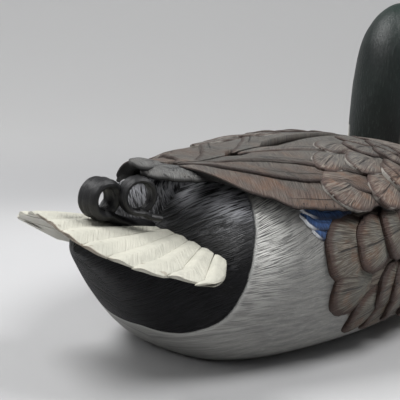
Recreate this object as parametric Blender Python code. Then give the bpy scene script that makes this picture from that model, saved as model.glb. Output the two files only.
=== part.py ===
"""Floating mallard drake decoy, hollow carved wood, in its own frame.

Metres, +Z up.  -Y is the way the duck faces and +X is its left.  The origin lies on the resting
face, halfway between the tip of the bill and the tip of the tail.
"""

import math

import bmesh
import bpy
import numpy as np
from mathutils import Vector

# ---------------------------------------------------------------- driving dimensions
OVERALL_LENGTH = 0.430
BILL_TIP, TAIL_TIP = -OVERALL_LENGTH / 2, OVERALL_LENGTH / 2
BODY_FRONT, BODY_REAR = -0.172, 0.211
WIDEST_Y, HALF_WIDTH = -0.004, 0.086
SEAM_Z = 0.050
WALL = 0.011
FLOOR_Z = 0.015
GAP = 0.0003

# Side profile of the body on its centreline, front to rear, as (y, z).
BACK_LINE = [
    (BODY_FRONT, 0.060), (-0.167, 0.086), (-0.148, 0.101), (-0.110, 0.109), (-0.050, 0.112),
    (0.010, 0.111), (0.060, 0.103), (0.105, 0.093), (0.135, 0.088), (0.165, 0.084), (0.190, 0.080),
    (BODY_REAR, 0.072),
]
MIDDLE_LINE = [
    (BODY_FRONT, 0.060), (-0.120, 0.054), (0.000, 0.052), (0.080, 0.054), (0.130, 0.058),
    (0.170, 0.065), (BODY_REAR, 0.071),
]
KEEL_LINE = [
    (BODY_FRONT, 0.060), (-0.168, 0.040), (-0.150, 0.018), (-0.120, 0.004), (-0.080, -0.004),
    (0.000, -0.006), (0.060, -0.006), (0.105, -0.004), (0.132, 0.004), (0.160, 0.026),
    (0.186, 0.050), (BODY_REAR, 0.070),
]
CAVITY = (-0.136, 0.100)
STATIONS, AROUND = 40, 40
CAVITY_STATIONS, CAVITY_AROUND = 20, 20

# ---------------------------------------------------------------- materials
PAINTS = {
    "body_paint": ((0.36, 0.35, 0.34), 0.75, 0.0),
    "head_paint": ((0.02, 0.09, 0.06), 0.45, 0.0),
    "bill_paint": ((0.55, 0.50, 0.14), 0.45, 0.0),
    "tail_paint": ((0.76, 0.75, 0.66), 0.75, 0.0),
    "rump_paint": ((0.02, 0.02, 0.024), 0.6, 0.0),
    "wing_paint": ((0.22, 0.19, 0.17), 0.7, 0.0),
    "primary_paint": ((0.13, 0.13, 0.13), 0.7, 0.0),
    "eye_glass": ((0.05, 0.02, 0.01), 0.05, 0.0),
    "bare_wood": ((0.62, 0.46, 0.28), 0.7, 0.0),
    "lead": ((0.20, 0.21, 0.22), 0.6, 0.8),
    "brass": ((0.60, 0.45, 0.18), 0.35, 1.0),
}


def paint(name):
    """The Principled material of that name, made the first time it is asked for."""
    found = bpy.data.materials.get(name)
    if found:
        return found
    colour, roughness, metallic = PAINTS[name]
    made = bpy.data.materials.new(name)
    made.use_nodes = True
    shader = made.node_tree.nodes["Principled BSDF"]
    shader.inputs["Base Color"].default_value = (*colour, 1)
    shader.inputs["Roughness"].default_value = roughness
    shader.inputs["Metallic"].default_value = metallic
    return made


# ---------------------------------------------------------------- small tools
def smooth_line(points, steps=14):
    """A dense Catmull-Rom curve through the points, as an array."""
    p = np.array(points, float)
    ends = np.vstack([2 * p[0] - p[1], p, 2 * p[-1] - p[-2]])
    out = []
    for a, b, c, d in zip(ends, ends[1:], ends[2:], ends[3:]):
        for t in np.arange(steps) / steps:
            out.append(
                0.5 * (2 * b + (c - a) * t + (2 * a - 5 * b + 4 * c - d) * t**2
                       + (3 * b - a - 3 * c + d) * t**3)
            )
    return np.array(out + [p[-1]])


def along(points):
    """The smooth curve through (position, value) points, as a function of position."""
    line = smooth_line(points)
    return lambda y: np.interp(y, line[:, 0], line[:, 1])


def stations(front, rear, count):
    """Positions from front to rear that crowd towards the two ends."""
    swing = np.linspace(0, math.pi, count)
    return (front + rear) / 2 - (rear - front) / 2 * np.cos(swing)


def grid_faces(rows, columns, start=0, closed=False):
    """Quads of a grid of vertices stored row by row; closed joins the last column to the first."""
    faces = []
    for i in range(rows - 1):
        for j in range(columns if closed else columns - 1):
            k = (j + 1) % columns
            a, b = start + i * columns, start + (i + 1) * columns
            faces.append((a + j, a + k, b + k, b + j))
    return faces


def face_outwards(bm):
    bmesh.ops.recalc_face_normals(bm, faces=bm.faces)
    if bm.calc_volume(signed=True) < 0:
        bmesh.ops.reverse_faces(bm, faces=bm.faces)


def tube_mesh(rings):
    """A bmesh through rings of equal length with its two ends filled, facing outwards."""
    rings = np.array(rings)
    rows, columns = rings.shape[:2]
    bm = bmesh.new()
    verts = [bm.verts.new(p) for p in rings.reshape(-1, 3)]
    faces = grid_faces(rows, columns, closed=True)
    faces.append(tuple(range(columns)))
    faces.append(tuple((rows - 1) * columns + j for j in range(columns)))
    for face in faces:
        bm.faces.new([verts[k] for k in face])
    bmesh.ops.remove_doubles(bm, verts=bm.verts, dist=1e-6)
    face_outwards(bm)
    return bm


def add_object(name, bm, material, helper=False, sharp=40):
    """The object of that name from a bmesh, shaded smooth below the sharp angle."""
    mesh = bpy.data.meshes.new(name)
    bm.to_mesh(mesh)
    bm.free()
    mesh.shade_smooth()
    mesh.set_sharp_from_angle(angle=math.radians(sharp))
    mesh.materials.append(paint(material))
    obj = bpy.data.objects.new(name, mesh)
    bpy.context.scene.collection.objects.link(obj)
    if helper:
        obj.hide_render = True
        obj.display_type = "WIRE"
    return obj


def loft(name, rings, material, helper=False):
    return add_object(name, tube_mesh(rings), material, helper)


def turned(name, profile, material, start, axis, segments=16, helper=False):
    """A solid of revolution: profile holds (distance along axis, radius), start is its zero."""
    turn = Vector((0, 0, 1)).rotation_difference(Vector(axis)).to_matrix()
    angles = np.arange(segments) * 2 * math.pi / segments
    rings = [
        [Vector(start) + turn @ Vector((r * math.cos(a), r * math.sin(a), h)) for a in angles]
        for h, r in profile
    ]
    return loft(name, rings, material, helper)


def cut(obj, *cutters):
    for cutter in cutters:
        modifier = obj.modifiers.new(cutter.name, "BOOLEAN")
        modifier.operation = "DIFFERENCE"
        modifier.object = cutter


# ---------------------------------------------------------------- body
back_height, middle_height, keel_height = along(BACK_LINE), along(MIDDLE_LINE), along(KEEL_LINE)


def half_width(y):
    """Half the body's breadth at its widest height: a round breast, and a long taper to the tail."""
    front = 1 - np.abs((y - WIDEST_Y) / (WIDEST_Y - BODY_FRONT)) ** 2.5
    rear = 1 - np.abs((y - WIDEST_Y) / (BODY_REAR - WIDEST_Y)) ** 2.1
    front, rear = np.clip(front, 0, 1) ** 0.50, np.clip(rear, 0, 1) ** 0.84
    return HALF_WIDTH * np.where(y < WIDEST_Y, front, rear)


def section(y, angle, inset=0.0):
    """The point of the body's skin at station y; angle 0 is the left side and pi/2 the back."""
    c, s = math.cos(angle), math.sin(angle)
    middle = middle_height(y)
    reach = back_height(y) - middle if s >= 0 else middle - keel_height(y)
    bend = 2 / (2.15 if s >= 0 else 2.5)
    x = max(half_width(y) - inset, 0) * math.copysign(abs(c) ** bend, c)
    z = middle + max(reach - inset, 0) * math.copysign(abs(s) ** bend, s)
    return np.array([x, y, z])


def skin_top(x, y):
    """Height of the back above a point of the plan."""
    share = min(abs(x) / half_width(y), 1)
    return middle_height(y) + (back_height(y) - middle_height(y)) * (1 - share**2.15) ** (1 / 2.15)


def skin_rings():
    turn = np.arange(AROUND) * 2 * math.pi / AROUND
    return [[section(y, a) for a in turn] for y in stations(BODY_FRONT, BODY_REAR, STATIONS)]


def cavity_rings():
    """The hollow: the skin moved in by the wall, and rounded off before the solid ends."""
    middle, reach = sum(CAVITY) / 2, (CAVITY[1] - CAVITY[0]) / 2
    turn = np.arange(CAVITY_AROUND) * 2 * math.pi / CAVITY_AROUND
    rings = []
    for y in stations(*CAVITY, CAVITY_STATIONS):
        fullness = max(1 - ((y - middle) / reach) ** 4, 0) ** 0.5
        centre = np.array([0, y, SEAM_Z])
        ring = [section(y, a, WALL) for a in turn]
        rings.append([centre + (np.maximum(p, [-1, -1, FLOOR_Z]) - centre) * fullness for p in ring])
    return rings


def half_shell(name, upper):
    """The skin and the hollow on one side of the seam, with a flat ring where the halves meet."""
    bm = tube_mesh(skin_rings())
    if not upper:
        cut_flat(bm, 0.0, keep_above=True)
    hollow = tube_mesh(cavity_rings())
    bmesh.ops.reverse_faces(hollow, faces=hollow.faces)
    mesh = bpy.data.meshes.new(name + "_hollow")
    hollow.to_mesh(mesh)
    hollow.free()
    bm.from_mesh(mesh)
    bpy.data.meshes.remove(mesh)
    cut_flat(bm, SEAM_Z + (GAP / 2 if upper else -GAP / 2), keep_above=upper)
    return add_object(name, bm, "body_paint")


def cut_flat(bm, height, keep_above):
    """Cuts a bmesh level, closes the cut with a flat face, and keeps one side."""
    everything = bm.verts[:] + bm.edges[:] + bm.faces[:]
    found = bmesh.ops.bisect_plane(
        bm, geom=everything, dist=1e-6, plane_co=(0, 0, height), plane_no=(0, 0, 1),
        clear_inner=keep_above, clear_outer=not keep_above,
    )
    rim = [g for g in found["geom_cut"] if isinstance(g, bmesh.types.BMEdge)]
    bmesh.ops.triangle_fill(bm, edges=rim, use_dissolve=False, normal=(0, 0, -1 if keep_above else 1))
    bmesh.ops.recalc_face_normals(bm, faces=bm.faces)


# ---------------------------------------------------------------- tail
TAIL_ROOT_Y, TAIL_ROOT_HALF, TAIL_TIP_HALF = 0.138, 0.039, 0.070
TAIL_SLOPE, TAIL_TWIST, TAIL_DROOP, TAIL_SWEEP = 0.12, 0.05, 0.3, 0.030
TAIL_THICK = 0.0034
TAIL_FEATHERS = 15
COVERT_EDGE_Y = 0.156


def tail_edge_height(u):
    """Height of the fan's trailing edge, which arches and lies a little higher on the left."""
    return 0.0785 + 0.002 * u - 0.0115 * u * u + 0.0035 * np.sin(math.pi * u)


def tail_point(u, y, lift=0.0):
    """A point of the fan's middle surface: u runs across it from -1 (right) to 1 (left)."""
    full_y = TAIL_TIP - TAIL_SWEEP
    half = TAIL_ROOT_HALF + (TAIL_TIP_HALF - TAIL_ROOT_HALF) * (y - TAIL_ROOT_Y) / (full_y - TAIL_ROOT_Y)
    tip_y = TAIL_TIP - TAIL_SWEEP * abs(u) ** 1.7
    droop = TAIL_DROOP * max(u, 0) ** 4 * min(max(tip_y - y, 0), 0.022)
    z = tail_edge_height(u) - (TAIL_SLOPE + TAIL_TWIST * u) * (tip_y - y) - droop
    return np.array([u * min(half, TAIL_TIP_HALF), y, z + lift])


def tail_fan():
    """The fan as a thin slab that ends in a round tip for each feather."""
    rings = []
    for u in np.linspace(-1, 1, TAIL_FEATHERS * 4 + 1):
        phase = (u + 1) / 2 * TAIL_FEATHERS % 1
        tip_y = TAIL_TIP - TAIL_SWEEP * abs(u) ** 1.7 - 0.0035 * (2 * phase - 1) ** 2
        line = TAIL_ROOT_Y + (tip_y - TAIL_ROOT_Y) * np.array([0, 0.3, 0.45, 0.6, 0.8, 0.95, 1])
        thick = TAIL_THICK / 2 * np.array([1, 1, 1, 0.95, 0.8, 0.6, 0.35])
        rings.append(
            [tail_point(u, y, t) for y, t in zip(line, thick)]
            + [tail_point(u, y, -t) for y, t in zip(line[::-1], thick[::-1])]
        )
    return loft("tail_fan", rings, "tail_paint")


def tail_slot(name, front, rear, below, above):
    """A helper solid that follows the fan between two stations, below and above its middle."""
    rings = []
    for u in np.linspace(-1, 1, 29):
        line = np.linspace(front, rear, 13)
        wide = np.array([1 + GAP / TAIL_ROOT_HALF, 1, 1])
        low = [tail_point(u, y, -below) * wide for y in line]
        high = [tail_point(u, y, above) * wide for y in line]
        rings.append(low + high[::-1])
    return loft(name, rings, "tail_paint", helper=True)


# ---------------------------------------------------------------- drake's curls
def curl_path(radius, turns, tighten=0.22, root=0.016, steps=22):
    """Side view of a curled feather: it leaves its root rearwards and rolls up and forwards."""
    path = [(-root, -radius - 0.002), (-root / 2, -radius - 0.0005), (-root / 5, -radius)]
    for k in range(steps + 1):
        a = -math.pi / 2 + turns * 2 * math.pi * k / steps
        r = radius * (1 - tighten * k / steps)
        path.append((r * math.cos(a), r * math.sin(a)))
    return path


def strip(name, path, centre, yaw, wide, thick, material, helper=False):
    """A ribbon that follows a side-view path, its plane turned about the vertical by yaw."""
    turn = np.array([[math.cos(yaw), -math.sin(yaw), 0], [math.sin(yaw), math.cos(yaw), 0], [0, 0, 1]])
    rings = []
    for k, (py, pz) in enumerate(path):
        a, b = path[max(k - 1, 0)], path[min(k + 1, len(path) - 1)]
        tangent = Vector((b[0] - a[0], b[1] - a[1])).normalized()
        w = wide / 2 * (1 - 0.5 * max(0, k / len(path) - 0.7) / 0.3)
        ring = []
        for across, out in ((-1, -0.5), (0, -1), (1, -0.5), (1, 0.5), (0, 1), (-1, 0.5)):
            o = out * thick / 2
            ring.append(turn @ (across * w, py + tangent.y * o, pz - tangent.x * o) + centre)
        rings.append(ring)
    return loft(name, rings, material, helper)


CURL_THICK = 0.0024
CURLS = {
    "front_curl": ((-0.005, 0.170, 0.0940), math.radians(-35), 0.0078, 0.0088, 0.93),
    "rear_curl": ((0.009, 0.184, 0.0925), math.radians(-4), 0.0084, 0.0105, 0.88),
}


def curls(shell):
    """Both curled feathers, each with its root let into the rump of the shell."""
    for name, (centre, yaw, radius, wide, turns) in CURLS.items():
        path = curl_path(radius, turns)
        strip(name, path, centre, yaw, wide, CURL_THICK, "rump_paint")
        root = [(y, z) for y, z in curl_path(radius, 0.3, 0, 0.017, 4)]
        cut(shell, strip(name + "_slot", root, centre, yaw, wide + 2 * GAP, CURL_THICK + 2.4 * GAP,
                         "rump_paint", helper=True))


# ---------------------------------------------------------------- folded wings
WING_FRONT, WING_REAR = -0.072, 0.152
WING_SEAT = 0.0006
wing_under = along([(-0.08, WING_SEAT), (0.01, WING_SEAT), (0.05, 0.0028), (0.10, 0.0088), (0.13, 0.0125),
                    (WING_REAR, 0.0155)])
wing_thick = along([(-0.08, 0.0016), (-0.03, 0.0036), (0.05, 0.0044), (0.12, 0.0040), (WING_REAR, 0.0022)])
wing_low_edge = along([(-0.08, 70), (-0.05, 44), (0.00, 33), (0.05, 32), (0.09, 37), (0.12, 45),
                       (0.145, 58), (WING_REAR, 75)])
WING_TOP_EDGE = 86.5


def wing(name, side):
    """One folded wing: its shoulder and tertial feathers as a shell laid over the back."""
    rings = []
    for y in np.linspace(WING_FRONT, WING_REAR, 26):
        under, thick = wing_under(y), wing_thick(y)
        angles = np.radians(np.linspace(wing_low_edge(y), WING_TOP_EDGE, 9))
        outer = [section(y, a, -under - thick) for a in angles]
        inner = [section(y, a, -under) for a in angles]
        outer[0] = (outer[0] + inner[0]) / 2
        rings.append([p * [side, 1, 1] for p in outer + inner[::-1]])
    return loft(name, rings, "wing_paint")


primary_lift = along([(0.09, 0.0052), (0.12, 0.0082), (0.14, 0.0105), (0.16, 0.0175), (0.175, 0.0240)])


def primaries(name, side, line, drop):
    """The long flight feathers of one wing: a blade under the tertials that crosses over the rump."""
    half = along([(0.09, 0.0070), (0.13, 0.0070), (line[-1][1] - 0.014, 0.0062), (line[-1][1], 0.0012)])
    rings = []
    for x, y in smooth_line(line, 4):
        w, lift = half(y), primary_lift(y) - drop
        rings.append([
            (side * (x + sx * w), y, skin_top(x + sx * w, y) + lift + sz * 0.0008)
            for sx, sz in ((-1, -0.4), (0, -1.2), (1, -0.4), (1, 0.4), (0, 1.2), (-1, 0.4))
        ])
    return loft(name, rings, "primary_paint")


# ---------------------------------------------------------------- head
NECK_SEAT_Z, HEAD_TOP = 0.098, 0.208
nape_line = along([(0.095, -0.096), (0.107, -0.096), (0.125, -0.094), (0.150, -0.091), (0.172, -0.092),
                   (0.187, -0.0975), (0.197, -0.105), (0.2035, -0.1135), (0.2070, -0.122), (HEAD_TOP, -0.131)])
face_line = along([(0.095, -0.152), (0.107, -0.150), (0.125, -0.149), (0.142, -0.160), (0.156, -0.171),
                   (0.170, -0.171), (0.186, -0.1635), (0.197, -0.155), (0.2035, -0.147), (0.2070, -0.139),
                   (HEAD_TOP, -0.132)])
head_half = along([(0.095, 0.028), (0.107, 0.027), (0.125, 0.0265), (0.150, 0.0275), (0.168, 0.0265),
                   (0.184, 0.0232), (0.196, 0.0175), (0.2035, 0.0112), (0.2070, 0.0058), (HEAD_TOP, 0.0008)])


def head_ring(z, count, grow=0.0):
    """A level slice of the head and neck, round behind and narrower in front."""
    nape, face, half = nape_line(z) + grow, face_line(z) - grow, head_half(z) + grow
    middle = nape + (face - nape) * 0.42
    ring = []
    for k in range(count):
        a = 2 * math.pi * k / count
        c, s = math.cos(a), math.sin(a)
        reach = (nape - middle) if s > 0 else (middle - face)
        narrow = 1 if s > 0 else 1 - 0.12 * s * s
        ring.append((half * c * narrow, middle + reach * s, z))
    return ring


def head_levels():
    crown = np.linspace(0, math.pi / 2, 9)[1:]
    return np.concatenate([np.linspace(NECK_SEAT_Z, 0.170, 11), 0.170 + (HEAD_TOP - 0.170) * np.sin(crown)])


def bill(name, grow=0.0, helper=False):
    """The bill from its root inside the face to its tip: high and narrow, then flat and broad."""
    line = [(-0.160, 0.1610, 0.0098, 0.0105), (-0.170, 0.1605, 0.0102, 0.0108),
            (-0.180, 0.1580, 0.0098, 0.0085), (-0.190, 0.1555, 0.0105, 0.0064),
            (-0.200, 0.1540, 0.0118, 0.0050), (-0.208, 0.1532, 0.0118, 0.0042),
            (-0.213, 0.1524, 0.0090, 0.0032), (BILL_TIP, 0.1518, 0.0040, 0.0018)]
    rings = []
    for y, z, half, high in line[:3] if helper else line:
        rings.append([
            (
                (half + grow) * math.cos(a),
                y + (GAP if helper and y > -0.161 else 0),
                z + (high + grow) * math.sin(a) * (0.75 if math.sin(a) < 0 else 1),
            )
            for a in np.arange(20) * math.pi / 10
        ])
    return loft(name, rings, "bill_paint", helper)


EYE_Y, EYE_Z, EYE_X, EYE_RADIUS = -0.1475, 0.1800, 0.0160, 0.0052


def eye(name, side, grow=0.0, helper=False):
    """A glass eye: a short bead whose domed face stands just proud of the cheek."""
    r = EYE_RADIUS + grow
    arc = np.linspace(0, math.pi / 2, 5)
    dome = [(0.0030 * math.sin(a) + 0.0030, max(r * math.cos(a), 0.0001)) for a in arc]
    back = -0.0015 - grow
    profile = [(back, 0.0001), (back, r * 0.8), (0.0000, r)] + dome
    return turned(name, profile, "eye_glass", (side * EYE_X, EYE_Y, EYE_Z), (side, -0.18, 0.05), 20, helper)


# ---------------------------------------------------------------- hidden dowels and the ballast
def dowel(name, x, y, low, high, radius, *holders):
    """A hardwood dowel, and the blind hole that it makes in each of the pieces it joins."""
    c = 0.001
    profile = [(0, 0.0001), (0, radius - c), (c, radius), (high - low - c, radius),
               (high - low, radius - c), (high - low, 0.0001)]
    made = turned(name, profile, "bare_wood", (x, y, low), (0, 0, 1))
    drill = [(-GAP, 0.0001), (-GAP, radius + GAP), (high - low + GAP, radius + GAP), (high - low + GAP, 0.0001)]
    hole = turned(name + "_hole", drill, "bare_wood", (x, y, low), (0, 0, 1), helper=True)
    for holder in holders:
        cut(holder, hole)
    return made


BALLAST_LENGTH, BALLAST_WIDTH, BALLAST_THICK = 0.112, 0.034, 0.0056
BALLAST_MIDDLE_Y = -0.004


def stadium(name, low, high, grow=0.0, helper=False):
    """A plate with round ends on the keel line, between two heights."""
    r = BALLAST_WIDTH / 2 + grow
    straight = BALLAST_LENGTH / 2 - BALLAST_WIDTH / 2
    ring = []
    for k in range(24):
        a = math.pi * (k % 12) / 11 + (math.pi if k >= 12 else 0)
        ring.append((r * math.cos(a), r * math.sin(a) + (straight if k < 12 else -straight)))
    rings = [[(x, y + BALLAST_MIDDLE_Y, z) for x, y in ring] for z in (low, high)]
    return loft(name, rings, "lead", helper)


def screw_profile(length, shank, head, grow=0.0):
    """A countersunk wood screw, head first: (distance along the screw, radius)."""
    sink = head - shank
    return [(0, 0.0001), (0, head + grow), (sink, shank + grow), (length - 0.002, shank + grow),
            (length + grow, 0.0001 + grow)]


def screw(name, start, axis, length, shank, head, material, *holders):
    """A screw and the hole for it, opened a little past the head so that the cut is clean."""
    made = turned(name, screw_profile(length, shank, head), material, start, axis, 14)
    drill = screw_profile(length, shank, head, GAP)
    drill = [(-0.004, 0.0001), (-0.004, head + GAP)] + drill[1:]
    hole = turned(name + "_hole", drill, material, start, axis, 14, helper=True)
    for holder in holders:
        cut(holder, hole)
    return made


# ---------------------------------------------------------------- line ring under the breast
STRAP_Y, STRAP_Z = -0.1625, 0.0300
STRAP_TILT = math.radians(48)
STRAP_WIDTH, STRAP_THICK, STRAP_FOOT, STRAP_EYE = 0.0070, 0.0010, 0.0080, 0.0026
STRAP_NECK = 0.0032
RING_RADIUS, RING_WIRE = 0.0068, 0.0010


def strap_frame(along_keel, outwards):
    """From the strap's own side view to (y, z): along the keel towards the rear, and outwards."""
    c, s = math.cos(STRAP_TILT), math.sin(STRAP_TILT)
    return STRAP_Y + along_keel * c - outwards * s, STRAP_Z - along_keel * s - outwards * c


def strap_path():
    """Middle line of the strap in its own side view: a foot, a round eye, and a foot."""
    r = STRAP_EYE + STRAP_THICK / 2
    t = STRAP_THICK / 2
    arc = [(-r * math.cos(a), t + 0.0022 + r * math.sin(a)) for a in np.linspace(0, math.pi, 9)]
    return [(-r - STRAP_FOOT, t), (-r - 0.0008, t), (-r, t + 0.0008)] + arc + [
        (r, t + 0.0008), (r + 0.0008, t), (r + STRAP_FOOT, t)]


def ring_strap():
    path = strap_path()
    rings = []
    for k, (p, q) in enumerate(path):
        a, b = path[max(k - 1, 0)], path[min(k + 1, len(path) - 1)]
        tangent = Vector((b[0] - a[0], b[1] - a[1])).normalized()
        wide = STRAP_WIDTH if q < STRAP_THICK else STRAP_NECK
        ring = []
        for across, out in ((-1, -1), (1, -1), (1, 1), (-1, 1)):
            o = out * STRAP_THICK / 2
            y, z = strap_frame(p - tangent.y * o, q + tangent.x * o)
            ring.append((across * wide / 2, y, z))
        rings.append(ring)
    return loft("ring_strap", rings, "brass")


def strap_seat():
    """A helper block that cuts the flat on the keel where the strap lies."""
    reach = STRAP_EYE + STRAP_THICK + STRAP_FOOT + GAP
    rings = []
    for p in (-reach, reach):
        ring = []
        for across, out in ((-1, -GAP), (1, -GAP), (1, 0.02), (-1, 0.02)):
            y, z = strap_frame(p, out)
            ring.append((across * (STRAP_WIDTH / 2 + GAP), y, z))
        rings.append(ring)
    return loft("strap_seat", rings, "brass", helper=True)


def line_ring():
    """The ring, hanging level with gravity from the bend of the strap's eye."""
    y, z = strap_frame(0, STRAP_THICK / 2 + 0.0022 + STRAP_EYE - RING_WIRE - 1.3 * GAP)
    rings = []
    for k in range(28):
        a = 2 * math.pi * k / 28
        out = Vector((math.sin(a), 0, math.cos(a)))
        middle = Vector((0, y, z - RING_RADIUS)) + out * RING_RADIUS
        ring = []
        for j in range(10):
            b = 2 * math.pi * j / 10
            ring.append(middle + out * (RING_WIRE * math.cos(b)) + Vector((0, RING_WIRE * math.sin(b), 0)))
        rings.append(ring)
    bm = bmesh.new()
    verts = [bm.verts.new(p) for ring in rings for p in ring]
    for i in range(28):
        for j in range(10):
            i2, j2 = (i + 1) % 28, (j + 1) % 10
            bm.faces.new([verts[i * 10 + j], verts[i * 10 + j2], verts[i2 * 10 + j2], verts[i2 * 10 + j]])
    face_outwards(bm)
    return add_object("line_ring", bm, "brass")


# ---------------------------------------------------------------- assembly
for old in list(bpy.data.objects):
    bpy.data.objects.remove(old)

back_shell = half_shell("back_shell", True)
hull_shell = half_shell("hull_shell", False)

tail_fan()
slot_depth = TAIL_THICK / 2 + 2 * GAP
cut(back_shell, tail_slot("tail_slot", TAIL_ROOT_Y - GAP, 0.230, slot_depth, slot_depth))
cut(back_shell, tail_slot("tail_seat", COVERT_EDGE_Y, 0.229, 0.0, 0.05))
curls(back_shell)
wing("left_wing", 1)
wing("right_wing", -1)
primaries("left_primaries", 1, [(0.025, 0.100), (0.018, 0.125), (0.009, 0.150), (-0.002, 0.171)], 0.0)
primaries("right_primaries", -1, [(0.025, 0.096), (0.021, 0.118), (0.015, 0.139), (0.010, 0.158)], 0.0022)

head = loft("head", [head_ring(z, 28) for z in head_levels()], "head_paint")
neck_pocket = [head_ring(z, 28, GAP) for z in (NECK_SEAT_Z - GAP, 0.110, 0.130)]
cut(back_shell, loft("neck_pocket", neck_pocket, "head_paint", helper=True))
bill("bill")
cut(head, bill("bill_socket", GAP, helper=True))
for side_name, side in (("left", 1), ("right", -1)):
    eye(side_name + "_eye", side)
    cut(head, eye(side_name + "_eye_socket", side, GAP, helper=True))
dowel("neck_dowel", 0, -0.122, 0.080, 0.140, 0.006, head, back_shell)
dowel("body_dowel_front", 0, -0.152, 0.036, 0.064, 0.004, back_shell, hull_shell)
dowel("body_dowel_rear", 0, 0.122, 0.036, 0.062, 0.004, back_shell, hull_shell)

ballast = stadium("ballast_weight", GAP, BALLAST_THICK)
cut(hull_shell, stadium("ballast_recess", -0.004, BALLAST_THICK + GAP, GAP, helper=True))
spots = [(x, BALLAST_MIDDLE_Y + y) for y in (-0.040, 0.040) for x in (-0.009, 0.009)]
for number, (x, y) in enumerate(spots, 1):
    screw(f"ballast_screw_{number}", (x, y, GAP), (0, 0, 1), 0.0115, 0.0016, 0.0034, "brass",
          ballast, hull_shell)

strap = ring_strap()
cut(hull_shell, strap_seat())
inwards = (0, math.sin(STRAP_TILT), math.cos(STRAP_TILT))
for number, spot in enumerate((-1, 1), 1):
    y, z = strap_frame(spot * (STRAP_EYE + STRAP_THICK + STRAP_FOOT * 0.55), STRAP_THICK)
    screw(f"strap_screw_{number}", (0, y, z), inwards, 0.0100, 0.0010, 0.0017, "brass", strap, hull_shell)
line_ring()
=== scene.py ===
"""Looks of the floating mallard drake decoy: carved feathers and paint over the CAD frame."""

import bpy
import numpy as np
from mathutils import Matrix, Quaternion, Vector
from numpy import cos, linspace, pi, radians, sin, where


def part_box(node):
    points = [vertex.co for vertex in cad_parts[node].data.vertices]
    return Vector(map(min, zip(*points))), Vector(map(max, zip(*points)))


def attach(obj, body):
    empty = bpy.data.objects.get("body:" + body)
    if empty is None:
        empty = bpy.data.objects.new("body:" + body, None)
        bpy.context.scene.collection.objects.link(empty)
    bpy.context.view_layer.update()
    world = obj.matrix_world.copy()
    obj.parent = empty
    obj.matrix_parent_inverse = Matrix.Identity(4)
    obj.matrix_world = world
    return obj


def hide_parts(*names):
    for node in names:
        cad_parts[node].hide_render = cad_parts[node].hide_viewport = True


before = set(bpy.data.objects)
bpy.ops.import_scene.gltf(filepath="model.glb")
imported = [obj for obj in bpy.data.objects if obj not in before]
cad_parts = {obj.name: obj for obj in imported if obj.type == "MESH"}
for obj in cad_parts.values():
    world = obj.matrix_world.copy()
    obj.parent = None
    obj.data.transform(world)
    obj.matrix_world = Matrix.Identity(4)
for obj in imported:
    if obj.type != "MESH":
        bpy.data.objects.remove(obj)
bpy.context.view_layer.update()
rng = np.random.default_rng(7)
MM = 0.001
UP = np.array([0.0, 0.0, 1.0])


# ---- small tools
def smooth_line(points, steps=14):
    """A dense Catmull-Rom curve through the points, as an array."""
    p = np.array(points, float)
    ends = np.vstack([2 * p[0] - p[1], p, 2 * p[-1] - p[-2]])
    t = (np.arange(steps) / steps)[:, None]
    out = [
        0.5 * (2 * b + (c - a) * t + (2 * a - 5 * b + 4 * c - d) * t**2 + (3 * b - a - 3 * c + d) * t**3)
        for a, b, c, d in zip(ends, ends[1:], ends[2:], ends[3:])
    ]
    return np.vstack(out + [p[-1:]])


def along(points, value_unit=MM):
    """The smooth curve through (mm, value) points, as a function of a position in metres."""
    line = smooth_line(points) * [MM, value_unit]
    order = np.argsort(line[:, 0])
    return lambda y: np.interp(y, line[order, 0], line[order, 1])


def unit(value):
    return np.clip(value, 0, 1)


def smooth(value, low, high):
    t = unit((value - low) / (high - low))
    return t * t * (3 - 2 * t)


def bell(value, width):
    """1 where the value is 0, falling off over the width."""
    return np.exp(-((value / width) ** 2))


def stack(*parts):
    """Numbers and arrays that broadcast together, side by side in a new last axis."""
    return np.stack(np.broadcast_arrays(*parts), -1)


def circle(count):
    return linspace(0, 2 * pi, count, endpoint=False)


def half_turn(count):
    """From -1 to 1, close-set at both ends."""
    return sin(linspace(-pi / 2, pi / 2, count))


def quarter_turn(count):
    """From 0 to 1, close-set at the end."""
    return sin(linspace(0, pi / 2, count))


def both_faces(top, bottom):
    """The columns of a blade: over its top and back along its underside."""
    return np.concatenate([top, bottom[:, ::-1]], 1)


def arc_lengths(points):
    """Distance covered from the first point, along the last axis but one."""
    steps = np.linalg.norm(np.diff(points, axis=-2), axis=-1)
    return np.concatenate([np.zeros_like(steps[..., :1]), np.cumsum(steps, axis=-1)], -1)


def headings(path):
    """Unit directions of a path in the plane."""
    heading = np.gradient(path, axis=0)
    return heading / np.linalg.norm(heading, axis=1, keepdims=True)


# ---- curves of the carving
BODY_FRONT, BODY_REAR = -0.172, 0.211
WIDEST_Y, HALF_WIDTH = -0.004, 0.086
FRONT_TAPER, FRONT_ROUND = 2.5, 0.5
REAR_TAPER, REAR_ROUND = 2.1, 0.84
TOP_BEND, BOTTOM_BEND = 2.15, 2.5
back_height = along([
    (BODY_FRONT / MM, 60), (-167, 86), (-148, 101), (-110, 109), (-50, 112), (10, 111), (60, 103),
    (105, 93), (135, 88), (165, 84), (190, 80), (BODY_REAR / MM, 72),
])
middle_height = along([
    (BODY_FRONT / MM, 60), (-120, 54), (0, 52), (80, 54), (130, 58), (170, 65), (BODY_REAR / MM, 71),
])
keel_height = along([
    (BODY_FRONT / MM, 60), (-168, 40), (-150, 18), (-120, 4), (-80, -4), (0, -6), (60, -6), (105, -4),
    (132, 4), (160, 26), (186, 50), (BODY_REAR / MM, 70),
])


def half_width(y):
    front = 1 - np.abs((y - WIDEST_Y) / (WIDEST_Y - BODY_FRONT)) ** FRONT_TAPER
    rear = 1 - np.abs((y - WIDEST_Y) / (BODY_REAR - WIDEST_Y)) ** REAR_TAPER
    return HALF_WIDTH * where(y < WIDEST_Y, unit(front) ** FRONT_ROUND, unit(rear) ** REAR_ROUND)


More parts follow.
